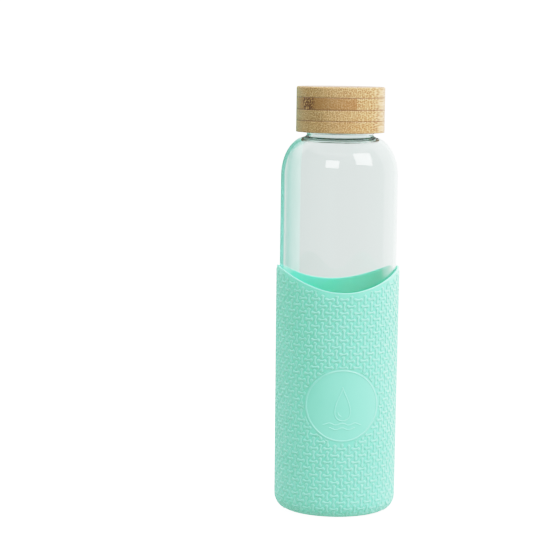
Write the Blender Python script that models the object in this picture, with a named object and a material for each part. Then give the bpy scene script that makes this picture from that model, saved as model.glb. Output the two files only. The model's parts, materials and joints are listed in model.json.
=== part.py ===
"""Glass water bottle in a silicone sleeve, closed by a screw cap of laminated bamboo.

Metres, +Z up. The origin is the centre of the sleeve's underside, on the surface that the
bottle stands on, and the front of the sleeve faces -Y. Every piece is turned about the Z axis.
"""

import math

import bmesh
import bpy

SEGMENTS = 48
MM = 0.001
GAP = 0.3 * MM

# Heights above the surface that the bottle stands on.
TOTAL_HEIGHT = 236.2 * MM
CAP_BOTTOM = 211.0 * MM
BRIM_HEIGHT = 226.1 * MM
NECK_FOOT = 209.5 * MM
NECK_BORE_FOOT = 208.9 * MM
SHOULDER_START = 187.0 * MM

# Glass body.
GLASS_RADIUS = 32.5 * MM
GLASS_WALL = 1.9 * MM
GLASS_FLOOR = 3.0 * MM
GLASS_HEEL_RADIUS = 7.0 * MM
PUNT_DEPTH = 1.2 * MM
PUNT_RADIUS = 20.0 * MM
SHOULDER_CENTRE = 17.4 * MM
SHOULDER_RISE = 22.0 * MM
SHOULDER_END_DEG = 82
INNER_SHOULDER_END_DEG = 78
NECK_RADIUS = 18.55 * MM
NECK_WALL = 1.95 * MM
BRIM_ROUND = 0.7 * MM

# Sleeve.
SLEEVE_BASE = 1.7 * MM
SLEEVE_TOP_RADIUS = 34.29 * MM
SLEEVE_FOOT_RADIUS = 33.79 * MM
SLEEVE_HEEL_RADIUS = 8.6 * MM
SLEEVE_HOLE_RADIUS = 18.0 * MM
FRONT_DIP = 125.1 * MM
BACK_DIP = 126.4 * MM
SIDE_PEAK = 137.0 * MM
DIP_FADE_START = 60.0 * MM

# Screw thread, right-handed: one ridge on the glass and one in the insert, half a pitch apart.
PITCH = 5.0 * MM
RIDGE_HEIGHT = 1.35 * MM
RIDGE_ROOT = 2.1 * MM
RIDGE_CREST = 0.9 * MM
RIDGE_EMBED = 0.4 * MM
RIDGE_TURNS = 1.5
RIDGE_TAPER = math.radians(45)
GLASS_RIDGE_START = 214.2 * MM

# Cap: thicknesses of the four bamboo plies, from the top ply down.
CAP_RADIUS = 24.57 * MM
CAP_EDGE = 1.1 * MM
CAP_FOOT_EDGE = 0.4 * MM
PLIES = [6.0 * MM, 6.6 * MM, 6.1 * MM, 6.5 * MM]
RECESS_RADIUS = 21.9 * MM

# Plastic insert and sealing ring.
INSERT_RADIUS = RECESS_RADIUS - GAP
INSERT_BORE = 20.3 * MM
INSERT_ROOF = 1.5 * MM
INSERT_RECESS = 0.5 * MM
SEAL_INNER = 16.0 * MM
SEAL_OUTER = INSERT_BORE - GAP


def clear_scene():
    for item in list(bpy.data.objects):
        bpy.data.objects.remove(item, do_unlink=True)


def material(name, colour, roughness, transmission=0.0):
    made = bpy.data.materials.new(name)
    made.use_nodes = True
    shader = made.node_tree.nodes["Principled BSDF"]
    shader.inputs["Base Color"].default_value = (*colour, 1.0)
    shader.inputs["Roughness"].default_value = roughness
    shader.inputs["Metallic"].default_value = 0.0
    shader.inputs["Transmission Weight"].default_value = transmission
    return made


def add_object(name, bm, finish):
    """Turn a bmesh into a smooth-shaded object with one material."""
    bmesh.ops.recalc_face_normals(bm, faces=bm.faces)
    mesh = bpy.data.meshes.new(name)
    bm.to_mesh(mesh)
    bm.free()
    mesh.shade_smooth()
    mesh.set_sharp_from_angle(angle=math.radians(35))
    made = bpy.data.objects.new(name, mesh)
    made.data.materials.append(finish)
    bpy.context.scene.collection.objects.link(made)
    return made


def arc(centre, radii, start_deg, end_deg, steps):
    """Points of an ellipse in the (radius, height) plane, both ends included."""
    points = []
    for i in range(steps + 1):
        angle = math.radians(start_deg + (end_deg - start_deg) * i / steps)
        points.append((centre[0] + radii[0] * math.cos(angle), centre[1] + radii[1] * math.sin(angle)))
    return points


def turned(outline, closed):
    """Spin an outline of (radius, height) points about Z. An open outline ends on the axis."""
    bm = bmesh.new()
    verts = [bm.verts.new((radius, 0.0, height)) for radius, height in outline]
    edges = [bm.edges.new(pair) for pair in zip(verts, verts[1:])]
    if closed:
        edges.append(bm.edges.new((verts[-1], verts[0])))
    bmesh.ops.spin(
        bm,
        geom=verts + edges,
        cent=(0.0, 0.0, 0.0),
        axis=(0.0, 0.0, 1.0),
        angle=math.tau,
        steps=SEGMENTS,
        use_merge=True,
    )
    bmesh.ops.remove_doubles(bm, verts=bm.verts, dist=GAP / 100)
    return bm


def ridge(name, wall_radius, outward, start_height, finish):
    """One helical thread ridge on a cylindrical wall, fading into the wall at both ends.

    outward is +1 for a ridge that stands out of the wall, and -1 for one that stands inwards.
    """
    root = wall_radius - outward * RIDGE_EMBED
    steps = round(RIDGE_TURNS * SEGMENTS)
    bm = bmesh.new()
    sections = []
    for i in range(steps + 1):
        turn = math.tau * (i + 0.5) / SEGMENTS
        ends = math.tau * min(i, steps - i) / SEGMENTS
        fade = min(1.0, ends / RIDGE_TAPER)
        crest = root + outward * (RIDGE_EMBED / 2 + fade * (RIDGE_HEIGHT + RIDGE_EMBED / 2))
        height = start_height + PITCH * turn / math.tau
        corners = [
            (root, height - RIDGE_ROOT / 2),
            (crest, height - RIDGE_CREST / 2),
            (crest, height + RIDGE_CREST / 2),
            (root, height + RIDGE_ROOT / 2),
        ]
        sections.append(
            [bm.verts.new((radius * math.cos(turn), radius * math.sin(turn), z)) for radius, z in corners]
        )
    for near, far in zip(sections, sections[1:]):
        for i in range(4):
            j = (i + 1) % 4
            bm.faces.new((near[i], near[j], far[j], far[i]))
    bm.faces.new(sections[0])
    bm.faces.new(reversed(sections[-1]))
    made = add_object(name, bm, finish)
    made.hide_render = True
    made.display_type = "WIRE"
    return made


def join_ridge(target, operand):
    """Union a ridge with the wall that carries it."""
    union = target.modifiers.new("thread", "BOOLEAN")
    union.operation = "UNION"
    union.solver = "EXACT"
    union.object = operand


def glass_bottle():
    """The glass: flat-sided body, elliptical shoulder, threaded neck, and a shallow punt below."""
    finish = material("clear_glass", (0.86, 0.93, 0.91), 0.02, transmission=1.0)
    base = SLEEVE_BASE + GAP
    heel = (GLASS_RADIUS - GLASS_HEEL_RADIUS, base + GLASS_HEEL_RADIUS)
    shoulder = (SHOULDER_CENTRE, SHOULDER_START)
    reach = GLASS_RADIUS - SHOULDER_CENTRE
    inner = GLASS_RADIUS - GLASS_WALL
    inner_heel = GLASS_HEEL_RADIUS - GLASS_WALL
    floor = base + GLASS_FLOOR
    bore = NECK_RADIUS - NECK_WALL
    brim = BRIM_HEIGHT - BRIM_ROUND
    outline = arc((0.0, base), (PUNT_RADIUS, PUNT_DEPTH), 90, 0, 3)
    outline += arc(heel, (GLASS_HEEL_RADIUS, GLASS_HEEL_RADIUS), -90, 0, 4)
    outline += arc(shoulder, (reach, SHOULDER_RISE), 0, SHOULDER_END_DEG, 6)
    outline += [(NECK_RADIUS, NECK_FOOT)]
    outline += arc((NECK_RADIUS - BRIM_ROUND, brim), (BRIM_ROUND, BRIM_ROUND), 0, 90, 2)
    outline += arc((bore + BRIM_ROUND, brim), (BRIM_ROUND, BRIM_ROUND), 90, 180, 2)
    outline += [(bore, NECK_BORE_FOOT)]
    inner_reach = (reach - GLASS_WALL, SHOULDER_RISE - GLASS_WALL)
    outline += arc(shoulder, inner_reach, INNER_SHOULDER_END_DEG, 0, 6)
    outline += arc((inner - inner_heel, floor + inner_heel), (inner_heel, inner_heel), 0, -90, 4)
    outline += arc((0.0, floor), (inner - inner_heel, PUNT_DEPTH), 0, 90, 3)[1:]
    bottle = add_object("glass_bottle", turned(outline, closed=False), finish)
    join_ridge(bottle, ridge("glass_thread", NECK_RADIUS, 1, GLASS_RIDGE_START, finish))
    return bottle


def silicone_sleeve():
    """The sleeve: thin wall, rounded heel, open ring underneath, top edge low in front and behind."""
    finish = material("mint_silicone", (0.36, 0.79, 0.66), 0.55)
    bore = GLASS_RADIUS + GAP
    inner_heel = GLASS_HEEL_RADIUS + GAP
    heel = (SLEEVE_FOOT_RADIUS - SLEEVE_HEEL_RADIUS, SLEEVE_HEEL_RADIUS)
    lip = (SLEEVE_TOP_RADIUS - bore) / 2
    outline = [(SLEEVE_HOLE_RADIUS, SLEEVE_BASE), (SLEEVE_HOLE_RADIUS, 0.0)]
    outline += arc(heel, (SLEEVE_HEEL_RADIUS, SLEEVE_HEEL_RADIUS), -90, 0, 5)
    outline += [((SLEEVE_FOOT_RADIUS + SLEEVE_TOP_RADIUS) / 2, DIP_FADE_START)]
    outline += arc((bore + lip, FRONT_DIP - lip), (lip, lip), 0, 180, 4)
    outline += [(bore, DIP_FADE_START)]
    outline += arc((bore - inner_heel, SLEEVE_BASE + inner_heel), (inner_heel, inner_heel), 0, -90, 5)
    bm = turned(outline, closed=True)
    for vert in bm.verts:
        share = max(0.0, (vert.co.z - DIP_FADE_START) / (FRONT_DIP - DIP_FADE_START))
        vert.co.z += share * (rim_height(vert.co.x, vert.co.y) - FRONT_DIP)
    return add_object("silicone_sleeve", bm, finish)


def rim_height(x, y):
    """Height of the sleeve's top edge in the direction (x, y): two dips and two peaks."""
    side = x * x / (x * x + y * y)
    behind = 0.5 + 0.5 * y / math.hypot(x, y)
    dip = FRONT_DIP + (BACK_DIP - FRONT_DIP) * behind
    return dip + (SIDE_PEAK - dip) * side


def bamboo_plies():
    """Four plies of the cap from the top down: a solid disc, then three rings round the insert."""
    colours = [(0.60, 0.42, 0.22), (0.52, 0.35, 0.18), (0.60, 0.43, 0.24), (0.57, 0.40, 0.22)]
    plies = []
    top = TOTAL_HEIGHT
    for number, (thickness, colour) in enumerate(zip(PLIES, colours), start=1):
        finish = material(f"bamboo_{number}", colour, 0.6)
        upper = top if number == 1 else top - GAP / 2
        lower = top - thickness
        if number < len(PLIES):
            lower += GAP / 2
        outline = ply_outline(number, lower, upper)
        plies.append(add_object(f"bamboo_layer_{number}", turned(outline, closed=number > 1), finish))
        top -= thickness
    return plies


def ply_outline(number, lower, upper):
    """Outline of one ply: the top ply's upper edge is rounded, the bottom ply's lower edge chamfered."""
    if number == 1:
        edge = arc((CAP_RADIUS - CAP_EDGE, upper - CAP_EDGE), (CAP_EDGE, CAP_EDGE), 0, 90, 4)
        return [(0.0, lower), (CAP_RADIUS, lower)] + edge + [(0.0, upper)]
    foot = [(CAP_RADIUS, lower)]
    if number == len(PLIES):
        foot = [(CAP_RADIUS - CAP_FOOT_EDGE, lower), (CAP_RADIUS, lower + CAP_FOOT_EDGE)]
    return [(RECESS_RADIUS, lower)] + foot + [(CAP_RADIUS, upper), (RECESS_RADIUS, upper)]


def thread_insert():
    """White plastic liner inside the bamboo: a cup whose skirt carries the internal thread."""
    finish = material("white_polypropylene", (0.88, 0.88, 0.86), 0.4)
    top = TOTAL_HEIGHT - PLIES[0] - GAP / 2
    roof = top - INSERT_ROOF
    foot = CAP_BOTTOM + INSERT_RECESS
    outline = [(0.0, top), (INSERT_RADIUS, top), (INSERT_RADIUS, foot)]
    outline += [(INSERT_BORE, foot), (INSERT_BORE, roof), (0.0, roof)]
    insert = add_object("thread_insert", turned(outline, closed=False), finish)
    start = GLASS_RIDGE_START - PITCH / 2
    join_ridge(insert, ridge("insert_thread", INSERT_BORE, -1, start, finish))
    return insert


def sealing_ring():
    """Flat silicone ring that the roof of the insert presses on the brim."""
    finish = material("clear_silicone", (0.82, 0.82, 0.80), 0.45)
    roof = TOTAL_HEIGHT - PLIES[0] - GAP / 2 - INSERT_ROOF
    lower = BRIM_HEIGHT + GAP
    upper = roof - GAP
    outline = [(SEAL_INNER, lower), (SEAL_OUTER, lower), (SEAL_OUTER, upper), (SEAL_INNER, upper)]
    return add_object("sealing_ring", turned(outline, closed=True), finish)


def main():
    clear_scene()
    silicone_sleeve()
    glass_bottle()
    sealing_ring()
    thread_insert()
    bamboo_plies()


main()
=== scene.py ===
"""Looks of the glass water bottle: glass, embossed silicone sleeve, bamboo cap, studio and camera.

Lengths are in metres unless a name says otherwise. The front of the sleeve faces -Y.
"""

import json
import math

import bmesh
import bpy
import numpy as np
from mathutils import Matrix, Vector


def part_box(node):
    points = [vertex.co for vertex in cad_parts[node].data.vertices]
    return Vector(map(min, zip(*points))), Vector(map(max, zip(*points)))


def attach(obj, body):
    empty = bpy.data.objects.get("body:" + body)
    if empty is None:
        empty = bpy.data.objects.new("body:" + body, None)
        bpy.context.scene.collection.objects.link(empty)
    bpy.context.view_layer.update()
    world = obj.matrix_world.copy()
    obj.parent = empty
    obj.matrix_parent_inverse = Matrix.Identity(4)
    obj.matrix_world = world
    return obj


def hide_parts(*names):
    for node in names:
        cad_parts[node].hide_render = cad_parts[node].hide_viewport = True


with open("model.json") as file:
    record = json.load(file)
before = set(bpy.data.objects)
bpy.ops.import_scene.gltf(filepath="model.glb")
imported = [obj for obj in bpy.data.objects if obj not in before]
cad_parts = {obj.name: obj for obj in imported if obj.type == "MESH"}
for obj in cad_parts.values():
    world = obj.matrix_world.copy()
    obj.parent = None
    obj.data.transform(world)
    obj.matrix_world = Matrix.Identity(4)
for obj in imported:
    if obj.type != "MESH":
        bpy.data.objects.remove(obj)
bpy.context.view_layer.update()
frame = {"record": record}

MM = 0.001

# Points round a turned ring: glass and cap, sleeve, and badge.
SEGMENTS = 160
SLEEVE_SEGMENTS = 192
BADGE_SEGMENTS = 144


# ---------------------------------------------------------------- dimensions, from the frame

def box_of(node):
    """A round node's outer radius, and its lowest and highest point."""
    low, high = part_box(node)
    return {"radius": high.x, "low": low.z, "high": high.z}


SLEEVE = box_of("silicone_sleeve")
GLASS = box_of("glass_bottle")
INSERT = box_of("thread_insert")
SEAL = box_of("sealing_ring")
PLIES = [box_of(f"bamboo_layer_{number}") for number in range(1, 5)]
COUPLING = frame["record"]["behaviour"]["couplings"][0]
PITCH = COUPLING["ratio"] * math.tau

# Glass: the rest of the shape repeats the CAD part's driving dimensions, with a finer foot to the neck.
GLASS_WALL = 1.9 * MM
GLASS_FLOOR = 3.0 * MM
GLASS_HEEL = 7.0 * MM
PUNT_DEPTH = 1.2 * MM
PUNT_RADIUS = 20.0 * MM
SHOULDER_CENTRE = 17.4 * MM
SHOULDER_START = 187.0 * MM
SHOULDER_RISE = 22.0 * MM
NECK_RADIUS = 18.55 * MM
NECK_WALL = 1.95 * MM
NECK_FOOT = 210.2 * MM
BRIM_ROUND = 0.7 * MM

# Glass: the corner between shoulder and neck, outside and inside. The shoulder's arc starts level with
# its centre and ends at this angle, and the curve up to the neck bends round a point this far above it.
SHOULDER_END_DEG = 78
NECK_CORNER = 0.35 * MM
INNER_SHOULDER_END_DEG = 77
INNER_NECK_FOOT = NECK_FOOT - 0.9 * MM
INNER_NECK_CORNER = 0.4 * MM

# Screw thread.
RIDGE_HEIGHT = 1.35 * MM
RIDGE_ROOT = 2.1 * MM
RIDGE_CREST = 0.9 * MM
RIDGE_TURNS = 1.5
RIDGE_TAPER_TURNS = 0.125
GLASS_RIDGE_START = 214.2 * MM
INSERT_BORE = 20.3 * MM
INSERT_ROOF = 1.5 * MM
SEAL_INNER = 16.0 * MM

# Sleeve: the emboss stands out of a base surface to the CAD radius.
SLEEVE_FOOT_RADIUS = 33.79 * MM
SLEEVE_HEEL = 8.6 * MM
SLEEVE_BASE = 1.7 * MM
SLEEVE_HOLE = 18.0 * MM
SLEEVE_BORE = GLASS["radius"] + 0.12 * MM
FRONT_DIP = 125.1 * MM
BACK_DIP = 126.4 * MM
DIP_FADE_START = 60.0 * MM
RELIEF = 0.3 * MM
HOLE_EDGE = 0.4 * MM
BEAD_INSET = 0.36 * MM
BEAD_RADIUS = 0.42 * MM

# Emboss: dumb-bell dashes on a chequerboard, alternately level and upright.
COLUMNS = 54
ROW_PITCH = 3.736 * MM
FIRST_ROW = 16.89 * MM
ROWS_BELOW_FIRST = 4
DASH_HALF_LENGTH = 2.5 * MM
RIM_MARGIN = 1.7 * MM
HEEL_MARGIN = 0.6 * MM
DASH_LEVELS = [(0.22 * MM, -0.05 * MM), (0.04 * MM, 0.6 * RELIEF), (-0.13 * MM, RELIEF)]

# Badge on the front of the sleeve.
BADGE_HEIGHT = 63.2 * MM
BADGE_RADIUS = 19.35 * MM
BADGE_MARGIN = 1.45 * MM
DISC_LIFT = 0.05 * MM
DISC_SINK = -0.1 * MM
RING_WIDTH = 1.0 * MM
LINE_WIDTH = 0.8 * MM
DROP_WIDTH = 0.85 * MM
DROP_RISE = 1.0 * MM
DROP_HALF_WIDTH = 6.2 * MM
DROP_HALF_HEIGHT = 9.2 * MM
GLOSS_DROP = 4.2 * MM
GLOSS_RADIUS = 2.6 * MM
RIPPLES = ((11.0 * MM, 10.5 * MM), (13.6 * MM, 7.0 * MM))
RIPPLE_HEIGHT = 0.55 * MM
RIPPLE_LENGTH = 7.0 * MM

# Cap.
CAP_EDGE = 1.1 * MM
PLY_CHAMFER = 0.05 * MM
PLY_JOINT = 0.02 * MM
RECESS_RADIUS = 21.9 * MM

# Bamboo. The fibres run away from the camera, turned by the slant. Each ply has two strips of wood.
GRAIN_SLANT = math.radians(24.0)
BUNDLES_PER_METRE = 1300.0
SPECKS_PER_METRE = 1150.0
PALE_BAND = (0.62, 0.42, 0.19)
PALE_FIBRE = (0.72, 0.51, 0.26)
PITH = (0.80, 0.60, 0.34)
BUNDLE = (0.23, 0.095, 0.016)
# Glue colour of the dark joints between plies. The same darkening along the lowest ply's foot is painted
# shade.
GLUE_AND_FOOT_SHADE = (0.20, 0.085, 0.025)
NODE_STAIN = (0.33, 0.14, 0.028)
NODE_WOOD = (0.70, 0.41, 0.15)
NODE_SPECK = (0.10, 0.027, 0.002)
# From the top ply down: tint, where the second strip starts, its tint, and where a culm node crosses.
PLY_LOOKS = [
    ((0.46, 0.235, 0.066), -14.0 * MM, (0.49, 0.26, 0.083), None),
    ((0.42, 0.205, 0.052), 8.8 * MM, (0.49, 0.265, 0.086), -16.6 * MM),
    ((0.345, 0.165, 0.036), -9.5 * MM, (0.49, 0.265, 0.083), None),
    ((0.41, 0.205, 0.052), -17.0 * MM, (0.475, 0.25, 0.074), None),
]

# Glass and silicone.
GLASS_TINT = (0.92, 0.93, 0.93, 1.0)
GLASS_SHADOW = (0.93, 0.97, 0.955, 1.0)
GLASS_DEPTH = (0.42, 0.86, 0.72, 1.0)
GLASS_DENSITY = 62.0
# Painted light in the sleeve's bore: a deeper, brighter mint that stands in for light coming through the
# wall.
BORE_PAINTED_LIGHT = (0.135, 0.86, 0.635)
BORE_START = SLEEVE_BORE + 0.05 * MM
BORE_END = SLEEVE_BORE + 0.25 * MM

# Camera.
CAMERA_AZIMUTH = math.radians(-6.4)
CAMERA_DISTANCE = 1.166
CAMERA_HEIGHT = 0.2563
CAMERA_PITCH = math.radians(6.27)
CAMERA_YAW = math.radians(-1.58)
CAMERA_ROLL = math.radians(0.81)
CAMERA_LENS_MM = 135.26
SENSOR_MM = 36.0

# Studio: colours and brightness of the surround, as the object's surfaces see it.
WALL_LEFT = (0.60, 0.74, 0.69)
WALL_RIGHT = (2.3, 2.3, 2.3)
WALL_BRIGHT = (2.7, 2.7, 2.7)
FRONT_LEFT = (0.24, 0.42, 0.36)
FRONT_RIGHT = (0.88, 0.86, 0.84)
CEILING = (2.8, 2.8, 2.8)
WHITE = (1.0, 1.0, 1.0, 1.0)
SEEN_BY_LENS = 2.1
FLOOR_RADIUS = 0.5
FLOOR_DEPTH = -0.2 * MM

# Film: points of its curve, where full scale is twice white.
FILM_SCALE = 2.0
FILM_CURVE = ((0.25, 0.5), (0.3, 0.585), (0.45, 0.755), (0.6, 0.86), (0.8, 0.955))

# Bounce cards, in the camera's frame: the (across, away) places of their upright edges, their height,
# their glow, and how many faces of the glass their light may cross.
CARD_NEAR = (-24.5 * MM, 42 * MM)
CARD_FAR = (-58 * MM, 100 * MM)
STRIP_NEAR = (-30.5 * MM, 24 * MM)
STRIP_FAR = (-56 * MM, 17.5 * MM)
CARD_FADE = 16 * MM
CARD_FOOT = 40 * MM
CARD_TOP = 250 * MM
CARD_TINT = (0.195, 0.47, 0.40)
CARD_PALE = (0.68, 0.81, 0.78)
CARD_GLOW = 0.75
STRIP_GLOW = 0.6
CARD_FACES = 8
STRIP_FACES = 2


# ---------------------------------------------------------------- mesh helpers

def mesh_object(name, points, faces, finish, sharp_deg=40):
    """A smooth-shaded mesh object with its faces pointing outwards."""
    mesh = bpy.data.meshes.new(name)
    mesh.from_pydata(points, [], faces)
    bm = bmesh.new()
    bm.from_mesh(mesh)
    bmesh.ops.recalc_face_normals(bm, faces=bm.faces)
    bm.to_mesh(mesh)
    bm.free()
    mesh.shade_smooth()
    mesh.set_sharp_from_angle(angle=math.radians(sharp_deg))
    made = bpy.data.objects.new(name, mesh)
    made.data.materials.append(finish)
    bpy.context.scene.collection.objects.link(made)
    return made


def arc(centre, radii, start_deg, end_deg, steps):
    """Points of an ellipse in the (radius, height) plane, both ends included."""
    angles = np.radians(np.linspace(start_deg, end_deg, steps + 1))
    return [(centre[0] + radii[0] * math.cos(a), centre[1] + radii[1] * math.sin(a))
            for a in angles]


def line(start, end, steps):
    """Points of a straight run, without its two ends."""
    shares = [i / steps for i in range(1, steps)]
    return [(start[0] + (end[0] - start[0]) * t, start[1] + (end[1] - start[1]) * t)
            for t in shares]


def bend(start, corner, end, steps):
    """Points of a quadratic curve that rounds a corner, without its start."""
    points = []
    for i in range(1, steps + 1):
        t = i / steps
        weighted = list(zip(((1 - t) ** 2, 2 * t * (1 - t), t * t), (start, corner, end)))
        points.append(tuple(sum(w * p[k] for w, p in weighted) for k in (0, 1)))
    return points


def spun(outline, shape=None, segments=SEGMENTS):
    """Rings of an outline of (radius, height) points turned about Z.

    shape(turns, radius, height) may move a ring's points: turns is the angle as a share of a turn.
    """
    turns = np.arange(segments) / segments
    rings = []
    for radius, height in outline:
        radii = np.full(segments, radius)
        heights = np.full(segments, height)
        if shape is not None:
            radii, heights = shape(turns, radii, heights)
        angles = math.tau * turns
        rings.append(np.stack([radii * np.cos(angles), radii * np.sin(angles), heights], axis=1))
    return np.array(rings)


def band(near, far, size):
    """Faces between two rings of vertices, given each ring's first vertex."""
    return [(near + j, near + (j + 1) % size, far + (j + 1) % size, far + j) for j in range(size)]


def fan(tip, first, size):
    """Faces between one vertex and a ring of vertices."""
    return [(tip, first + j, first + (j + 1) % size) for j in range(size)]


def stack(rings, loop=False):
    """Points and faces of a stack of rings. loop joins the last ring to the first."""
    count, size = rings.shape[:2]
    faces = []
    for i in range(count if loop else count - 1):
        faces += band(i * size, (i + 1) % count * size, size)
    return rings.reshape(-1, 3).tolist(), faces


def skin(name, rings, finish, poles=(None, None), loop=False, sharp_deg=40):
    """Mesh over a stack of rings. Poles are heights on the axis that close its two ends."""
    count, size = rings.shape[:2]
    points, faces = stack(rings, loop)
    for pole, first in zip(poles, (0, (count - 1) * size)):
        if pole is not None:
            points.append((0.0, 0.0, pole))
            faces += fan(len(points) - 1, first, size)
    return mesh_object(name, points, faces, finish, sharp_deg)


def threaded(wall_radius, outward, start):
    """Shape function for spun: a helical ridge on the wall of that radius, and nothing elsewhere."""

    def shape(turns, radii, heights):
        if abs(radii[0] - wall_radius) > 1e-6:
            return radii, heights
        place = (heights - start) / PITCH - turns
        winding = np.round(place)
        offset = np.abs(place - winding) * PITCH
        along = turns + winding
        ends = np.minimum(along, RIDGE_TURNS - along) / RIDGE_TAPER_TURNS
        flank = (RIDGE_ROOT / 2 - offset) / ((RIDGE_ROOT - RIDGE_CREST) / 2)
        rise = np.clip(flank, 0.0, 1.0) * np.clip(ends, 0.0, 1.0)
        return radii + outward * RIDGE_HEIGHT * rise * rise * (3 - 2 * rise), heights

    return shape


# ---------------------------------------------------------------- node helpers

def new_material(name):
    made = bpy.data.materials.new(name)
    made.use_nodes = True
    return made, made.node_tree, made.node_tree.nodes["Principled BSDF"]


def feed(tree, socket, value):
    """Link a socket to another node's output, or set it to a plain value."""
    if isinstance(value, bpy.types.NodeSocket):
        tree.links.new(value, socket)
    else:
        socket.default_value = value


def add(tree, kind, inputs=None, **settings):
    """Add a node, set its properties, and set or link its inputs."""
    made = tree.nodes.new(kind)
    for key, value in settings.items():
        setattr(made, key, value)
    for key, value in (inputs or {}).items():
        feed(tree, made.inputs[key], value)
    return made


def object_point(tree, scale=(1.0, 1.0, 1.0), turn=(0.0, 0.0, 0.0), shift=(0.0, 0.0, 0.0)):
    """Object coordinates, in metres, turned, scaled and shifted."""
    place = add(tree, "ShaderNodeTexCoord").outputs["Object"]
    turned = add(tree, "ShaderNodeMapping", {"Vector": place, "Rotation": turn})
    scaled = {"Vector": turned.outputs["Vector"], "Scale": scale, "Location": shift}
    return add(tree, "ShaderNodeMapping", scaled).outputs["Vector"]


def noise(tree, point, scale, detail=3.0, roughness=0.5):
    settings = {"Vector": point, "Scale": scale, "Detail": detail, "Roughness": roughness}
    return add(tree, "ShaderNodeTexNoise", settings).outputs["Fac"]


def spread(tree, value, low, high, new_low, new_high):
    """Map a value from one range to another, clamped."""
    settings = {"Value": value, "From Min": low, "From Max": high,
                "To Min": new_low, "To Max": new_high}
    return add(tree, "ShaderNodeMapRange", settings, clamp=True).outputs["Result"]


def blend_colours(tree, share, first, second):
    """Mix two colours, each a socket or an RGB tuple. The sockets are the Mix node's colour ones."""
    made = add(tree, "ShaderNodeMix", {0: share}, data_type="RGBA")
    for place, value in ((6, first), (7, second)):
        feed(tree, made.inputs[place], (*value, 1.0) if isinstance(value, tuple) else value)
    return made.outputs[2]


def maths(tree, operation, first, second=0.0):
    return add(tree, "ShaderNodeMath", {0: first, 1: second}, operation=operation).outputs[0]


def bump(tree, height, distance, strength):
    settings = {"Height": height, "Distance": distance, "Strength": strength}
    return add(tree, "ShaderNodeBump", settings).outputs["Normal"]


# ---------------------------------------------------------------- materials

def glass_material():
    """Clear soda-lime glass: green in the depth, with faint wiping marks. Lamps shine through it."""
    made, tree, shader = new_material("clear_glass")
    shader.inputs["Base Color"].default_value = GLASS_TINT
    shader.inputs["IOR"].default_value = 1.5
    shader.inputs["Transmission Weight"].default_value = 1.0
    marks = noise(tree, object_point(tree, scale=(1.0, 1.0, 0.35)), 60.0, detail=4.0)
    tree.links.new(spread(tree, marks, 0.5, 0.75, 0.0, 0.02), shader.inputs["Roughness"])
    ripple = noise(tree, object_point(tree, scale=(1.0, 1.0, 0.4)), 20.0, detail=0.0)
    tree.links.new(bump(tree, ripple, 0.12 * MM, 0.2), shader.inputs["Normal"])
    clear = add(tree, "ShaderNodeBsdfTransparent", {"Color": GLASS_SHADOW})
    path = add(tree, "ShaderNodeLightPath")
    mixed = add(tree, "ShaderNodeMixShader", {0: path.outputs["Is Shadow Ray"], 1: shader.outputs[0]})
    tree.links.new(clear.outputs[0], mixed.inputs[2])
    tree.links.new(mixed.outputs[0], tree.nodes["Material Output"].inputs["Surface"])
    green = {"Color": GLASS_DEPTH, "Density": GLASS_DENSITY}
    depth = add(tree, "ShaderNodeVolumeAbsorption", green)
    tree.links.new(depth.outputs[0], tree.nodes["Material Output"].inputs["Volume"])
    return made


def mint_silicone(name, dark, light, roughness, depth):
    """Soft silicone: slight mottling of the pigment, a fine moulded skin, and a pale sheen.

    depth is how much of the light goes through the wall instead of off its surface.
    The sleeve's bore is painted a deeper, brighter mint: painted light that stands in for the light coming
    to it through the wall.
    """
    made, tree, shader = new_material(name)
    point = object_point(tree)
    mottle = spread(tree, noise(tree, point, 45.0, detail=4.0), 0.35, 0.65, 0.0, 1.0)
    across = add(tree, "ShaderNodeSeparateXYZ", {"Vector": point})
    radius = maths(tree, "SQRT", maths(tree, "ADD", maths(tree, "POWER", across.outputs["X"], 2.0),
                                       maths(tree, "POWER", across.outputs["Y"], 2.0)))
    above_heel = spread(tree, across.outputs["Z"], SLEEVE_HEEL, 2 * SLEEVE_HEEL, 0.0, 1.0)
    # Painted light: above the heel, the bore fades to a deeper, brighter mint that stands in for light
    # coming through the wall.
    bore = maths(tree, "MULTIPLY", above_heel, spread(tree, radius, BORE_START, BORE_END, 1.0, 0.0))
    skin_colour = blend_colours(tree, mottle, dark, light)
    tree.links.new(blend_colours(tree, bore, skin_colour, BORE_PAINTED_LIGHT), shader.inputs["Base Color"])
    wear = spread(tree, noise(tree, point, 160.0), 0.3, 0.7, roughness - 0.05, roughness + 0.05)
    tree.links.new(wear, shader.inputs["Roughness"])
    pores = noise(tree, point, 3200.0, detail=2.0)
    tree.links.new(bump(tree, pores, 0.03 * MM, 0.4), shader.inputs["Normal"])
    shader.inputs["IOR"].default_value = 1.43
    shader.inputs["Specular IOR Level"].default_value = 1.0
    shader.inputs["Subsurface Weight"].default_value = depth
    shader.inputs["Subsurface Radius"].default_value = (0.5, 1.0, 0.85)
    shader.inputs["Subsurface Scale"].default_value = 1.6 * MM
    shader.inputs["Sheen Weight"].default_value = 0.22
    shader.inputs["Sheen Roughness"].default_value = 0.5
    return made


def clear_silicone():
    """Milky silicone of the sealing ring, a little hazier and rougher in random patches."""
    made, tree, shader = new_material("clear_silicone")
    point = object_point(tree)
    haze = spread(tree, noise(tree, point, 220.0), 0.35, 0.65, 0.0, 1.0)
    milk = blend_colours(tree, haze, (0.74, 0.75, 0.73), (0.83, 0.83, 0.81))
    tree.links.new(milk, shader.inputs["Base Color"])
    tree.links.new(spread(tree, haze, 0.0, 1.0, 0.38, 0.5), shader.inputs["Roughness"])
    tree.links.new(bump(tree, noise(tree, point, 1800.0), 0.02 * MM, 0.5), shader.inputs["Normal"])
    shader.inputs["Subsurface Weight"].default_value = 0.4
    shader.inputs["Subsurface Scale"].default_value = 1.0 * MM
    return made


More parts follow.
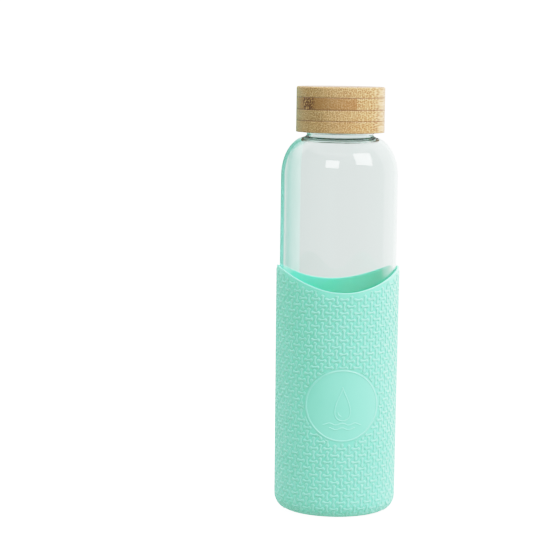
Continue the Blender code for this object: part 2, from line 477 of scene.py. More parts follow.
def white_plastic():
    """White moulded polypropylene with faint flow marks."""
    made, tree, shader = new_material("white_polypropylene")
    flow = noise(tree, object_point(tree, scale=(1.0, 1.0, 4.0)), 70.0, detail=4.0)
    shade = spread(tree, flow, 0.35, 0.65, 0.0, 1.0)
    white = blend_colours(tree, shade, (0.80, 0.80, 0.78), (0.87, 0.87, 0.85))
    tree.links.new(white, shader.inputs["Base Color"])
    tree.links.new(spread(tree, flow, 0.3, 0.7, 0.3, 0.42), shader.inputs["Roughness"])
    grain = noise(tree, object_point(tree), 2400.0)
    tree.links.new(bump(tree, grain, 0.015 * MM, 0.5), shader.inputs["Normal"])
    shader.inputs["Subsurface Weight"].default_value = 0.1
    shader.inputs["Subsurface Scale"].default_value = 1.5 * MM
    return made


def bamboo(number, ply, tint, strip_edge, strip_tint, node_place):
    """One bamboo ply: dots of end grain in front, and streaks where the fibres lie along the surface.

    ply holds its lower and upper height; the wood darkens along both faces. Between plies this is the glue,
    and along the lowest ply's foot it is painted shade.
    strip_edge is where the ply's second strip starts, across the fibres, and strip_tint is its colour.
    node_place is where along the first strip a dark culm node crosses it, or None.
    """
    made, tree, shader = new_material(f"bamboo_ply_{number}")
    turn = (0.0, 0.0, -CAMERA_AZIMUTH)
    grain_turn = (0.0, 0.0, GRAIN_SLANT - CAMERA_AZIMUTH)
    shift = (number * 3.7, number * 1.9, number * 2.3)
    across = add(tree, "ShaderNodeSeparateXYZ", {"Vector": object_point(tree, turn=turn)})
    strip = spread(tree, across.outputs["X"], strip_edge - 0.1 * MM, strip_edge + 0.1 * MM, 0.0, 1.0)
    ground = blend_colours(tree, strip, tint, strip_tint)

    bands = noise(tree, object_point(tree, (90.0, 12.0, 260.0), grain_turn, shift), 1.0, detail=2.0)
    ground = blend_colours(tree, spread(tree, bands, 0.35, 0.65, 0.0, 0.35), ground, PALE_BAND)
    fibres = object_point(tree, (1500.0, 24.0, 1900.0), grain_turn, shift)
    streaks = noise(tree, fibres, 1.0, detail=3.0, roughness=0.6)
    ground = blend_colours(tree, spread(tree, streaks, 0.4, 0.65, 0.0, 0.6), ground, PALE_FIBRE)

    slant = add(tree, "ShaderNodeSeparateXYZ", {"Vector": object_point(tree, turn=grain_turn)})
    section = add(tree, "ShaderNodeCombineXYZ", {"X": slant.outputs["X"], "Y": slant.outputs["Z"]})
    section = section.outputs["Vector"]
    bundles = end_grain(tree, section, BUNDLES_PER_METRE, 0.62)
    pith = spread(tree, bundles, 0.42, 0.65, 0.0, 0.36)
    ground = blend_colours(tree, pith, ground, PITH)
    patches = noise(tree, object_point(tree, (1.0, 0.3, 1.0), turn, shift), 190.0)
    dots = maths(tree, "MULTIPLY", spread(tree, bundles, 0.2, 0.42, 1.0, 0.0),
                 spread(tree, patches, 0.35, 0.65, 0.55, 0.95))
    ground = blend_colours(tree, dots, ground, BUNDLE)

    if node_place is not None:
        ground = culm_node(tree, ground, across, section, strip, node_place)

    # Darker within 0.14 mm of the ply's lower and upper faces: the glue at joints between plies, and painted
    # shade along the lowest ply's foot.
    gap = maths(tree, "MINIMUM", maths(tree, "SUBTRACT", across.outputs["Z"], ply[0]),
                maths(tree, "SUBTRACT", ply[1], across.outputs["Z"]))
    ragged = maths(tree, "MULTIPLY", streaks, 0.22 * MM)
    glue_and_foot_shade = spread(tree, maths(tree, "SUBTRACT", gap, ragged), 0.0, 0.14 * MM, 0.85, 0.0)
    ground = blend_colours(tree, glue_and_foot_shade, ground, GLUE_AND_FOOT_SHADE)

    tree.links.new(ground, shader.inputs["Base Color"])
    tree.links.new(spread(tree, streaks, 0.3, 0.7, 0.4, 0.58), shader.inputs["Roughness"])
    height = maths(tree, "SUBTRACT", streaks, dots)
    tree.links.new(bump(tree, height, 0.08 * MM, 0.6), shader.inputs["Normal"])
    shader.inputs["Specular IOR Level"].default_value = 0.4
    shader.inputs["Coat Weight"].default_value = 0.2
    shader.inputs["Coat Roughness"].default_value = 0.25
    return made


def end_grain(tree, section, density, randomness):
    """Distance to the nearest fibre bundle, in units of their spacing. density is bundles per metre."""
    settings = {"Vector": section, "Scale": density, "Randomness": randomness}
    return add(tree, "ShaderNodeTexVoronoi", settings, voronoi_dimensions="2D").outputs["Distance"]


def culm_node(tree, ground, across, section, strip, place):
    """A culm node across the first strip: a band of dark speckles, and brown wood on either side of it."""
    apart = maths(tree, "ABSOLUTE", maths(tree, "SUBTRACT", across.outputs["Y"], place))
    uneven = maths(tree, "SUBTRACT", noise(tree, object_point(tree), 300.0), 0.5)
    apart = maths(tree, "ADD", apart, maths(tree, "MULTIPLY", uneven, 4 * MM))
    specks = end_grain(tree, section, SPECKS_PER_METRE, 1.0)
    speckle = spread(tree, specks, 0.36, 0.55, 1.0, 0.0)
    first_strip = maths(tree, "SUBTRACT", 1.0, strip)
    stain = maths(tree, "MULTIPLY", spread(tree, apart, 2.0 * MM, 15.0 * MM, 0.9, 0.0), first_strip)
    ground = blend_colours(tree, stain, ground, NODE_STAIN)
    band = maths(tree, "MULTIPLY", spread(tree, apart, 2.4 * MM, 4.2 * MM, 1.0, 0.0), first_strip)
    light = maths(tree, "MULTIPLY", band, spread(tree, specks, 0.6, 0.75, 0.0, 0.8))
    ground = blend_colours(tree, light, ground, NODE_WOOD)
    return blend_colours(tree, maths(tree, "MULTIPLY", band, speckle), ground, NODE_SPECK)


# ---------------------------------------------------------------- glass

def glass_bottle(finish):
    """One smooth glass body: punted base, straight wall, elliptical shoulder, threaded neck."""
    base, brim, radius = GLASS["low"], GLASS["high"], GLASS["radius"]
    floor = base + GLASS_FLOOR
    inner = radius - GLASS_WALL
    inner_heel = GLASS_HEEL - GLASS_WALL
    bore = NECK_RADIUS - NECK_WALL
    shoulder = (SHOULDER_CENTRE, SHOULDER_START)
    reach = radius - SHOULDER_CENTRE

    outline = arc((0.0, base), (PUNT_RADIUS, PUNT_DEPTH), 90, 0, 16)[1:]
    outline += arc((radius - GLASS_HEEL, base + GLASS_HEEL), (GLASS_HEEL, GLASS_HEEL), -90, 0, 16)
    outline += line((radius, base + GLASS_HEEL), (radius, SHOULDER_START), 24)
    outline += arc(shoulder, (reach, SHOULDER_RISE), 0, SHOULDER_END_DEG, 28)
    corner = (NECK_RADIUS, outline[-1][1] + NECK_CORNER)
    outline += bend(outline[-1], corner, (NECK_RADIUS, NECK_FOOT), 8)
    outline += line((NECK_RADIUS, NECK_FOOT), (NECK_RADIUS, brim - BRIM_ROUND), 60)
    outline += arc((NECK_RADIUS - BRIM_ROUND, brim - BRIM_ROUND), (BRIM_ROUND, BRIM_ROUND), 0, 90, 6)
    outline += arc((bore + BRIM_ROUND, brim - BRIM_ROUND), (BRIM_ROUND, BRIM_ROUND), 90, 180, 6)

    inner_reach = (reach - GLASS_WALL, SHOULDER_RISE - GLASS_WALL)
    inside = arc(shoulder, inner_reach, INNER_SHOULDER_END_DEG, 0, 28)
    outline += line(outline[-1], (bore, INNER_NECK_FOOT), 12) + [(bore, INNER_NECK_FOOT)]
    outline += bend(outline[-1], (bore, inside[0][1] + INNER_NECK_CORNER), inside[0], 8)
    outline += inside[1:]
    outline += line(inside[-1], (inner, floor + inner_heel), 24)
    outline += arc((inner - inner_heel, floor + inner_heel), (inner_heel, inner_heel), 0, -90, 14)
    outline += arc((0.0, floor), (inner - inner_heel, PUNT_DEPTH), 0, 90, 16)[1:-1]

    rings = spun(outline, threaded(NECK_RADIUS, 1, GLASS_RIDGE_START))
    poles = (base + PUNT_DEPTH, floor + PUNT_DEPTH)
    piece = skin("glass_body", rings, finish, poles, sharp_deg=60)
    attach(piece, "bottle")
    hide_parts("glass_bottle")


# ---------------------------------------------------------------- sleeve

def rim_height(x, y):
    """Height of the sleeve's top edge in the direction (x, y): two dips and two peaks."""
    across = np.hypot(x, y)
    behind = 0.5 + 0.5 * y / across
    dip = FRONT_DIP + (BACK_DIP - FRONT_DIP) * behind
    return dip + (SLEEVE["high"] - dip) * (x / across) ** 2


def base_radius(height):
    """Radius of the sleeve's base surface, between the embossed dashes."""
    taper = (height - SLEEVE_HEEL) / (FRONT_DIP - SLEEVE_HEEL)
    return SLEEVE_FOOT_RADIUS + (SLEEVE["radius"] - SLEEVE_FOOT_RADIUS) * taper - RELIEF


def on_sleeve(turn, way, lift):
    """Points on the sleeve: turn is the angle from the front, way the distance up its outline.

    lift is the height above the base surface. way equals the height above the rounded heel.
    """
    heel_centre = SLEEVE_FOOT_RADIUS - SLEEVE_HEEL
    below = np.clip((SLEEVE_HEEL - way) / SLEEVE_HEEL, 0.0, math.pi / 2)
    straight = base_radius(way) + lift
    rounded = heel_centre + (SLEEVE_HEEL - RELIEF + lift) * np.cos(below)
    radius = np.where(way > SLEEVE_HEEL, straight, rounded)
    height = np.where(way > SLEEVE_HEEL, way, SLEEVE_HEEL - (SLEEVE_HEEL + lift) * np.sin(below))
    return np.stack([radius * np.sin(turn), -radius * np.cos(turn), height], axis=-1)


def saddle(turns, radii, heights):
    """Shape function for spun: lifts the upper sleeve so that its edge dips in front and behind."""
    share = np.clip((heights - DIP_FADE_START) / (FRONT_DIP - DIP_FADE_START), 0.0, None)
    rim = rim_height(np.cos(math.tau * turns), np.sin(math.tau * turns))
    return radii, heights + share * (rim - FRONT_DIP)


def sleeve_shell(finish):
    """The sleeve's smooth body: a lip that rises at the sides, tapered wall, rounded heel, open base."""
    heel_centre = (SLEEVE_FOOT_RADIUS - SLEEVE_HEEL, SLEEVE_HEEL)
    inner_heel = GLASS_HEEL + SLEEVE_BORE - GLASS["radius"]
    top_radius = base_radius(FRONT_DIP)
    lip = (top_radius - SLEEVE_BORE) / 2
    foot = base_radius(SLEEVE_HEEL)
    edge = HOLE_EDGE
    outline = arc((SLEEVE_HOLE + edge, edge), (edge, edge), 180, 270, 4)
    outline += arc(heel_centre, (SLEEVE_HEEL - RELIEF, SLEEVE_HEEL), -90, 0, 16)
    outline += line((foot, SLEEVE_HEEL), (top_radius, FRONT_DIP - lip), 60)
    outline += arc((SLEEVE_BORE + lip, FRONT_DIP - lip), (lip, lip), 0, 180, 10)
    outline += line((SLEEVE_BORE, FRONT_DIP - lip), (SLEEVE_BORE, SLEEVE_BASE + inner_heel), 48)
    inner_centre = (SLEEVE_BORE - inner_heel, SLEEVE_BASE + inner_heel)
    outline += arc(inner_centre, (inner_heel, inner_heel), 0, -90, 12)
    outline += arc((SLEEVE_HOLE + edge, SLEEVE_BASE - edge), (edge, edge), 90, 180, 4)

    piece = skin("sleeve_shell", spun(outline, saddle, SLEEVE_SEGMENTS), finish, loop=True)
    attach(piece, "sleeve")
    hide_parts("silicone_sleeve")


def lip_bead(finish):
    """A fine polished bead along the outer edge of the sleeve's lip, in paler silicone as a painted
    highlight.
    """
    centre = (base_radius(FRONT_DIP) - BEAD_INSET, FRONT_DIP - BEAD_INSET)
    rings = spun(arc(centre, (BEAD_RADIUS, BEAD_RADIUS), -180, 150, 11), saddle, SLEEVE_SEGMENTS)
    piece = skin("sleeve_lip_bead", rings, finish, loop=True, sharp_deg=180)
    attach(piece, "sleeve")
    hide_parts("silicone_sleeve")


def dash_outline(grow):
    """One level dumb-bell dash as (x, y) points round its middle, moved outwards by grow."""
    tip = DASH_HALF_LENGTH
    quarter = [(tip, 0.0), (tip - 0.13 * MM, 0.42 * MM), (tip - 0.55 * MM, 0.78 * MM),
               (tip - 0.99 * MM, 0.73 * MM), (tip - 1.42 * MM, 0.45 * MM),
               (tip - 1.90 * MM, 0.27 * MM), (0.0, 0.22 * MM)]
    upper = quarter + [(-x, y) for x, y in reversed(quarter[:-1])]
    whole = np.array(upper + [(x, -y) for x, y in reversed(upper[1:-1])])
    ahead = np.roll(whole, -1, axis=0) - np.roll(whole, 1, axis=0)
    normals = np.stack([ahead[:, 1], -ahead[:, 0]], axis=1)
    return whole + grow * normals / np.linalg.norm(normals, axis=1)[:, None]


def dash_faces(first, size, levels):
    """Faces of one dash from its first vertex: sides between its rings, a crown, and a floor."""
    faces = []
    for level in range(levels - 1):
        near = first + level * size
        faces += band(near, near + size, size)
    for ring, flip in ((levels - 1, False), (0, True)):
        start = first + ring * size
        half = size // 2
        cap = [(start, start + 1, start + size - 1)]
        cap += [(start + i, start + i + 1, start + size - i - 1, start + size - i)
                for i in range(1, half - 1)]
        cap += [(start + half - 1, start + half, start + half + 1)]
        faces += [tuple(reversed(face)) for face in cap] if flip else cap
    return faces


def dashes(name, upright, finish):
    """All the level or all the upright dashes, cut back at the rim, the badge and the heel."""
    outlines = [dash_outline(grow) for grow, _ in DASH_LEVELS]
    if upright:
        outlines = [outline[:, ::-1] * (1.0, -1.0) for outline in outlines]
    size = len(outlines[0])
    top_row = int((SLEEVE["high"] - FIRST_ROW) / ROW_PITCH) + 1
    points = []
    faces = []
    for row in range(-ROWS_BELOW_FIRST, top_row):
        for column in range(COLUMNS):
            if (row + column) % 2 != upright:
                continue
            rings = []
            free = size
            for outline, (grow, lift) in zip(outlines, DASH_LEVELS):
                turn = math.tau * column / COLUMNS + outline[:, 0] / SLEEVE_FOOT_RADIUS
                way = FIRST_ROW + row * ROW_PITCH + outline[:, 1]
                turn, way, kept = cut_back(turn, way, grow)
                free = min(free, kept)
                rings.append(on_sleeve(turn, way, lift))
            if free >= size // 3:
                faces += dash_faces(len(points), size, len(DASH_LEVELS))
                points += [tuple(point) for ring in rings for point in ring]
    piece = mesh_object(name, points, faces, finish, sharp_deg=180)
    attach(piece, "sleeve")
    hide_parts("silicone_sleeve")


def cut_back(turn, way, grow):
    """Keep a dash's outline clear of the rim, the badge and the heel, and count its free points."""
    rim = rim_height(np.sin(turn), -np.cos(turn)) - RIM_MARGIN + grow
    heel = HEEL_MARGIN - grow
    x = SLEEVE_FOOT_RADIUS * np.sin(turn)
    y = way - BADGE_HEIGHT
    apart = np.hypot(x, y)
    keep_out = BADGE_RADIUS + BADGE_MARGIN - grow
    inside = (apart < keep_out) & (np.cos(turn) > 0)
    kept = int(np.sum((way < rim) & (way > heel) & ~inside))
    push = np.where(inside, keep_out / np.maximum(apart, 1e-9), 1.0)
    bounded = np.clip(x * push / SLEEVE_FOOT_RADIUS, -1.0, 1.0)
    turn = np.where(inside, np.arcsin(bounded), turn)
    way = np.where(inside, BADGE_HEIGHT + y * push, way)
    return turn, np.clip(way, heel, rim), kept


def raised_line(name, path, width, finish, closed=False):
    """A low rounded ridge on the sleeve along a path of (x, z) points seen from the front."""
    section = [(-0.5, -0.3), (-0.36, 0.55), (-0.16, 0.95), (0.16, 0.95), (0.36, 0.55), (0.5, -0.3)]
    path = np.array(path)
    ahead = np.roll(path, -1, axis=0) - np.roll(path, 1, axis=0)
    if not closed:
        ahead[0] = path[1] - path[0]
        ahead[-1] = path[-1] - path[-2]
    side = np.stack([-ahead[:, 1], ahead[:, 0]], axis=1)
    side /= np.linalg.norm(side, axis=1)[:, None]
    strands = []
    for offset, lift in section:
        place = path + side * offset * width
        turn = np.arcsin(place[:, 0] / SLEEVE_FOOT_RADIUS)
        strands.append(on_sleeve(turn, place[:, 1], np.full(len(path), lift * RELIEF)))
    rings = np.array(strands).transpose(1, 0, 2)
    count, size = rings.shape[:2]
    points, faces = stack(rings, closed)
    if not closed:
        faces += [tuple(range(size)), tuple(range((count - 1) * size, count * size))]
    piece = mesh_object(name, points, faces, finish, sharp_deg=75)
    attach(piece, "sleeve")
    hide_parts("silicone_sleeve")


def badge_disc(finish):
    """The badge's smooth ground, a hair above the sleeve's base surface, with its edge sunk in."""
    rings = []
    angles = np.linspace(0, math.tau, BADGE_SEGMENTS, endpoint=False)
    for share in np.append(np.linspace(0.04, 1.0, 25), 1.01):
        reach = share * (BADGE_RADIUS + BADGE_MARGIN / 2)
        turn = np.arcsin(reach * np.cos(angles) / SLEEVE_FOOT_RADIUS)
        lift = np.full(BADGE_SEGMENTS, DISC_LIFT if share <= 1.0 else DISC_SINK)
        rings.append(on_sleeve(turn, BADGE_HEIGHT + reach * np.sin(angles), lift))
    points, faces = stack(np.array(rings))
    middle = on_sleeve(np.zeros(1), np.full(1, BADGE_HEIGHT), np.full(1, DISC_LIFT))[0]
    points.append(tuple(middle))
    faces += fan(len(points) - 1, 0, BADGE_SEGMENTS)
    piece = mesh_object("badge_disc", points, faces, finish, sharp_deg=75)
    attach(piece, "sleeve")
    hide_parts("silicone_sleeve")


def badge(ground, finish):
    """A raised ring round a smooth disc with a plain water drop over two ripples."""
    badge_disc(ground)
    ring = [(BADGE_RADIUS * math.cos(a), BADGE_HEIGHT + BADGE_RADIUS * math.sin(a))
            for a in np.linspace(0, math.tau, BADGE_SEGMENTS, endpoint=False)]
    raised_line("badge_ring", ring, RING_WIDTH, finish, closed=True)
    middle = BADGE_HEIGHT + DROP_RISE
    drop = []
    for a in np.linspace(0, math.tau, 96, endpoint=False):
        across = DROP_HALF_WIDTH * math.sin(a) * math.sin(a / 2) ** 1.6
        drop.append((across, middle + DROP_HALF_HEIGHT * math.cos(a)))
    raised_line("badge_drop", drop, DROP_WIDTH, finish, closed=True)
    gloss = [(-GLOSS_RADIUS * math.cos(a), middle - GLOSS_DROP - GLOSS_RADIUS * math.sin(a))
             for a in np.radians(np.linspace(5, 75, 16))]
    raised_line("badge_gloss", gloss, LINE_WIDTH, finish)
    for number, (below, half) in enumerate(RIPPLES, start=1):
        ripple = [(x, middle - below + RIPPLE_HEIGHT * math.cos(math.tau * x / RIPPLE_LENGTH))
                  for x in np.linspace(-half, half, 64)]
        raised_line(f"badge_ripple_{number}", ripple, LINE_WIDTH, finish)


# ---------------------------------------------------------------- cap

def bamboo_plies():
    """Four plies, each with a fine chamfer along its glue lines. The top one is a disc, rounded on top."""
    for number, (ply, look) in enumerate(zip(PLIES, PLY_LOOKS), start=1):
        low, high = ply_heights(number)
        finish = bamboo(number, (low, high), *look)
        radius = ply["radius"]
        c = PLY_CHAMFER
        side = line((radius, low + c), (radius, high - c), 8)
        if number == 1:
            outline = [(radius * i / 12, low) for i in range(1, 12)]
            outline += [(radius - c, low), (radius, low + c)]
            outline += line((radius, low + c), (radius, high - CAP_EDGE), 6)
            outline += arc((radius - CAP_EDGE, high - CAP_EDGE), (CAP_EDGE, CAP_EDGE), 0, 90, 10)
            outline += [((radius - CAP_EDGE) * i / 16, high) for i in range(15, 0, -1)]
            piece = skin(f"bamboo_ply_{number}", spun(outline), finish, (low, high), sharp_deg=60)
        else:
            foot = c if number < len(PLIES) else 3 * c
            outline = [(RECESS_RADIUS, low), (radius - foot, low), (radius, low + foot)] + side
            outline += [(radius, high - c), (radius - c, high), (RECESS_RADIUS, high)]
            piece = skin(f"bamboo_ply_{number}", spun(outline), finish, loop=True, sharp_deg=60)
        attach(piece, "cap")
        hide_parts(f"bamboo_layer_{number}")


def ply_heights(number):
    """Lower and upper face of a ply, where the CAD model's gaps are closed to a fine joint."""
    index = number - 1
    low = PLIES[index]["low"]
    high = PLIES[index]["high"]
    if number < len(PLIES):
        low = (low + PLIES[index + 1]["high"]) / 2 + PLY_JOINT / 2
    if number > 1:
        high = (high + PLIES[index - 1]["low"]) / 2 - PLY_JOINT / 2
    return low, high


def thread_insert(finish):
    """White liner: a cup with a rounded foot, a shallow roof ring, and the internal thread."""
    radius, low, top = INSERT["radius"], INSERT["low"], INSERT["high"]
    roof = top - INSERT_ROOF
    edge = 0.3 * MM
    outline = [(radius * i / 8, top) for i in range(1, 8)]
    outline += arc((radius - edge, top - edge), (edge, edge), 90, 0, 4)
    outline += arc((radius - edge, low + edge), (edge, edge), 0, -90, 4)
    outline += arc((INSERT_BORE + edge, low + edge), (edge, edge), -90, -180, 4)
    outline += line((INSERT_BORE, low + edge), (INSERT_BORE, roof), 64)
    outline += [(INSERT_BORE - 0.02 * MM, roof)]
    outline += [(INSERT_BORE * i / 8, roof) for i in range(7, 0, -1)]
    rings = spun(outline, threaded(INSERT_BORE, -1, GLASS_RIDGE_START - PITCH / 2))
    piece = skin("cap_liner", rings, finish, poles=(top, roof), sharp_deg=50)
    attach(piece, "cap")
    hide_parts("thread_insert")


def sealing_ring(finish):
    """Flat ring with rounded edges."""
    inner, outer, low, high = SEAL_INNER, SEAL["radius"], SEAL["low"], SEAL["high"]
    edge = 0.35 * MM
    outline = arc((outer - edge, low + edge), (edge, edge), -90, 0, 5)
    outline += arc((outer - edge, high - edge), (edge, edge), 0, 90, 5)
    outline += arc((inner + edge, high - edge), (edge, edge), 90, 180, 5)
    outline += arc((inner + edge, low + edge), (edge, edge), 180, 270, 5)
    piece = skin("seal", spun(outline), finish, loop=True, sharp_deg=60)
    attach(piece, "seal")
    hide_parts("sealing_ring")


# ---------------------------------------------------------------- stage, lights, camera

def seen_by(tree, lens, glass, others):
    """A brightness for each kind of ray: straight from the lens, through glass, and all the rest."""
    path = add(tree, "ShaderNodeLightPath")
    through = maths(tree, "MULTIPLY", path.outputs["Is Transmission Ray"], glass - others)
    straight = maths(tree, "MULTIPLY", path.outputs["Is Camera Ray"], lens - others)
    return maths(tree, "ADD", maths(tree, "ADD", through, straight), others)


def floor():
    """A pale floor, bright enough to meet the white surround without an edge."""
    made, tree, shader = new_material("pale_floor")
    fleck = noise(tree, object_point(tree), 40.0)
    shade = spread(tree, fleck, 0.3, 0.7, 0.0, 1.0)
    grey = blend_colours(tree, shade, (0.28, 0.28, 0.28), (0.30, 0.30, 0.30))
    tree.links.new(grey, shader.inputs["Base Color"])
    shader.inputs["Roughness"].default_value = 0.9
    shader.inputs["Specular IOR Level"].default_value = 0.0
    shader.inputs["Emission Color"].default_value = WHITE
    tree.links.new(seen_by(tree, 1.8, 0.75, 0.4), shader.inputs["Emission Strength"])
    corners = [(FLOOR_RADIUS * math.cos(a), FLOOR_RADIUS * math.sin(a), FLOOR_DEPTH)
               for a in np.linspace(0, math.tau, 64, endpoint=False)]
    mesh_object("floor", corners, [tuple(range(64))], made)


def surround():
    """White studio. The lens sees plain white, and so does the glass, a little brighter to the right.

    Other surfaces see a grey room in front, paper behind that is mint to the left and white to the
    right, brighter above and straight opposite, and a bright ceiling.
    """
    world = bpy.data.worlds.new("studio")
    bpy.context.scene.world = world
    world.use_nodes = True
    tree = world.node_tree
    tree.nodes.clear()
    place = add(tree, "ShaderNodeTexCoord").outputs["Generated"]
    turn = {"Vector": place, "Rotation": (0.0, 0.0, -CAMERA_AZIMUTH)}
    turned = add(tree, "ShaderNodeMapping", turn)
    way = add(tree, "ShaderNodeSeparateXYZ", {"Vector": turned.outputs["Vector"]})
    behind = spread(tree, way.outputs["Y"], 0.08, 0.22, 0.0, 1.0)
    rightwards = spread(tree, way.outputs["X"], -0.2, 0.35, 0.0, 1.0)
    wall = blend_colours(tree, rightwards, WALL_LEFT, WALL_RIGHT)
    sides = spread(tree, way.outputs["X"], -0.7, 0.7, 0.0, 1.0)
    front = blend_colours(tree, sides, FRONT_LEFT, FRONT_RIGHT)
    high = spread(tree, way.outputs["Z"], 0.3, 0.6, 0.0, 1.0)
    opposite = spread(tree, way.outputs["Y"], 0.975, 0.995, 0.0, 1.0)
    wall = blend_colours(tree, maths(tree, "MAXIMUM", high, opposite), wall, WALL_BRIGHT)
    room = blend_colours(tree, behind, front, wall)
    overhead = spread(tree, way.outputs["Z"], 0.66, 0.82, 0.0, 1.0)
    room = blend_colours(tree, overhead, room, CEILING)
    other = add(tree, "ShaderNodeBackground", {"Color": room, "Strength": 1.0})
    path = add(tree, "ShaderNodeLightPath")
    seen = maths(tree, "MAXIMUM", path.outputs["Is Camera Ray"], path.outputs["Is Transmission Ray"])
    through = maths(tree, "ADD", spread(tree, way.outputs["X"], -0.06, -0.01, 1.05, 1.13),
                    spread(tree, way.outputs["X"], 0.02, 0.2, 0.0, 0.32))
    straight = maths(tree, "MULTIPLY", path.outputs["Is Camera Ray"], SEEN_BY_LENS)
    strength = maths(tree, "MAXIMUM", straight, through)
    white = add(tree, "ShaderNodeBackground", {"Color": WHITE, "Strength": strength})
    mixed = add(tree, "ShaderNodeMixShader", {0: seen, 1: other.outputs[0], 2: white.outputs[0]})
    output = add(tree, "ShaderNodeOutputWorld")
    tree.links.new(mixed.outputs[0], output.inputs["Surface"])


def bounce_card(name, near, far, pale, glow, glass_faces):
    """An upright mint card behind the bottle's left, out of sight of the lens. It tints the left edges.

    It turns to the tint called pale towards its near edge. Only its side towards the lens is painted,
    and light that has crossed more than glass_faces faces of the glass doesn't meet it.
    """
    made, tree, shader = new_material(name)
    place = object_point(tree, turn=(0.0, 0.0, -CAMERA_AZIMUTH))
    across = add(tree, "ShaderNodeSeparateXYZ", {"Vector": place}).outputs["X"]
    fade = spread(tree, across, near[0] - CARD_FADE, near[0], 0.0, 1.0)
    fade = maths(tree, "ADD", fade, spread(tree, noise(tree, place, 90.0), 0.3, 0.7, -0.04, 0.04))
    tint = blend_colours(tree, fade, CARD_TINT, pale)
    tree.links.new(tint, shader.inputs["Base Color"])
    shader.inputs["Roughness"].default_value = 0.8
    tree.links.new(tint, shader.inputs["Emission Color"])
    shader.inputs["Emission Strength"].default_value = glow
    crossed = add(tree, "ShaderNodeLightPath").outputs["Transmission Depth"]
    painted = add(tree, "ShaderNodeNewGeometry").outputs["Backfacing"]
    unpainted = maths(tree, "SUBTRACT", 1.0, painted)
    missed = maths(tree, "MAXIMUM", maths(tree, "GREATER_THAN", crossed, glass_faces + 0.5), unpainted)
    mixed = add(tree, "ShaderNodeMixShader", {0: missed, 1: shader.outputs[0]})
    tree.links.new(add(tree, "ShaderNodeBsdfTransparent").outputs[0], mixed.inputs[2])
    tree.links.new(mixed.outputs[0], tree.nodes["Material Output"].inputs["Surface"])
    turn = Matrix.Rotation(CAMERA_AZIMUTH, 4, "Z")
    corners = [turn @ Vector((*edge, height)) for edge, height in
               ((far, CARD_FOOT), (near, CARD_FOOT), (near, CARD_TOP), (far, CARD_TOP))]
    card = mesh_object(name, corners, [(0, 1, 2, 3)], made)
    card.visible_camera = False


def bounce_cards():
    """A card nearly in line with the lens, so that little of it shows from the right, and a strip.

    The strip is only for light that is thrown back inside the glass wall, at the very edge.
    """
    bounce_card("mint_card", CARD_NEAR, CARD_FAR, CARD_PALE, CARD_GLOW, CARD_FACES)
    bounce_card("mint_strip", STRIP_NEAR, STRIP_FAR, CARD_TINT, STRIP_GLOW, STRIP_FACES)


def film_response():
    """A soft shoulder, as a camera gives: even up to mid tones, then easing off towards white."""
    settings = bpy.context.scene.view_settings
    settings.view_transform = "Standard"
    settings.use_curve_mapping = True
    mapping = settings.curve_mapping
    mapping.white_level = (FILM_SCALE, FILM_SCALE, FILM_SCALE)
    all_channels = mapping.curves[3]
    for x, y in FILM_CURVE:
        all_channels.points.new(x, y)
    mapping.update()


def softbox(name, azimuth_deg, elevation_deg, distance, width, height, radiance, roll_deg=0.0):
    """A rectangular light aimed at the shoulder. Azimuth is from the camera's side, to the right."""
    azimuth = math.radians(azimuth_deg) + CAMERA_AZIMUTH
    elevation = math.radians(elevation_deg)
    level = math.cos(elevation)
    away = Vector((math.sin(azimuth) * level, -math.cos(azimuth) * level, math.sin(elevation)))
    light = bpy.data.lights.new(name, "AREA")
    light.shape = "RECTANGLE"
    light.size = width
    light.size_y = height
    light.energy = radiance * math.pi * width * height
    made = bpy.data.objects.new(name, light)
    made.location = Vector((0.0, 0.0, SHOULDER_START)) + away * distance
    roll = Matrix.Rotation(math.radians(roll_deg), 4, "Z")
    made.rotation_euler = (away.to_track_quat("Z", "Y").to_matrix().to_4x4() @ roll).to_euler()
    bpy.context.scene.collection.objects.link(made)
    return made


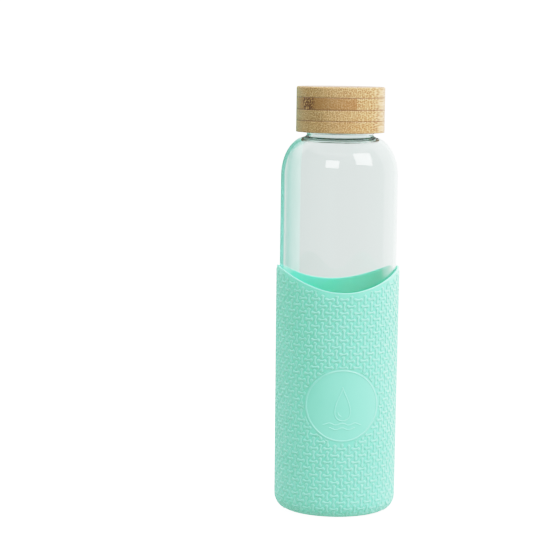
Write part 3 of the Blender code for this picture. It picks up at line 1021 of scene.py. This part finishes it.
def lights():
    """Two softboxes that show as the two pale squares on the shoulder. Only the key lights matt surfaces."""
    softbox("key", azimuth_deg=57.0, elevation_deg=35.2, distance=1.6, width=0.98, height=0.78,
            radiance=7.1, roll_deg=-13.0)
    window = softbox("window", azimuth_deg=-15.5, elevation_deg=26.2, distance=1.8, width=0.80,
                     height=0.53, radiance=7.5)
    window.visible_diffuse = False


def camera():
    """The camera stands a little to the left of the bottle's front, and looks slightly down."""
    flat = math.cos(CAMERA_PITCH)
    ahead = Vector((math.sin(CAMERA_YAW) * flat, math.cos(CAMERA_YAW) * flat,
                    -math.sin(CAMERA_PITCH)))
    level = Vector((math.cos(CAMERA_YAW), -math.sin(CAMERA_YAW), 0.0))
    up = level.cross(ahead)
    right = level * math.cos(CAMERA_ROLL) + up * math.sin(CAMERA_ROLL)
    top = up * math.cos(CAMERA_ROLL) - level * math.sin(CAMERA_ROLL)
    axes = Matrix((right, top, -ahead)).transposed().to_4x4()
    place = Matrix.Translation((0.0, -CAMERA_DISTANCE, CAMERA_HEIGHT))
    data = bpy.data.cameras.new("camera")
    data.lens = CAMERA_LENS_MM
    data.sensor_width = SENSOR_MM
    made = bpy.data.objects.new("camera", data)
    made.matrix_world = Matrix.Rotation(CAMERA_AZIMUTH, 4, "Z") @ place @ axes
    bpy.context.scene.collection.objects.link(made)
    bpy.context.scene.camera = made


# ---------------------------------------------------------------- scene

camera()
lights()
surround()
floor()
bounce_cards()
film_response()

silicone = mint_silicone("mint_silicone", (0.21, 0.80, 0.575), (0.225, 0.825, 0.60),
                         roughness=0.5, depth=0.6)
# Painted sheen: the badge disc's silicone is a paler, greyer mint, standing in for the haze of white light
# on its smooth face.
smooth_silicone_painted_sheen = mint_silicone("mint_silicone_smooth_painted_sheen", (0.225, 0.775, 0.575), (0.24, 0.80, 0.60),
                                roughness=0.44, depth=0.2)
# Painted highlight: the dashes' silicone is a paler mint than the base, standing in for the light that the
# raised dashes catch.
dash_silicone_painted_highlight = mint_silicone("mint_silicone_dashes_painted_highlight", (0.26, 0.815, 0.605), (0.28, 0.84, 0.63),
                              roughness=0.48, depth=0.4)
# Painted highlight: the lip bead and the badge lines are an even paler mint, standing in for the light
# caught on raised edges.
raised_silicone_painted_highlight = mint_silicone("mint_silicone_raised_painted_highlight", (0.265, 0.80, 0.62), (0.29, 0.83, 0.65),
                                roughness=0.4, depth=0.1)
glass_bottle(glass_material())
sleeve_shell(silicone)
lip_bead(raised_silicone_painted_highlight)
dashes("sleeve_dashes_level", False, dash_silicone_painted_highlight)
dashes("sleeve_dashes_upright", True, dash_silicone_painted_highlight)
badge(smooth_silicone_painted_sheen, raised_silicone_painted_highlight)
sealing_ring(clear_silicone())
thread_insert(white_plastic())
bamboo_plies()
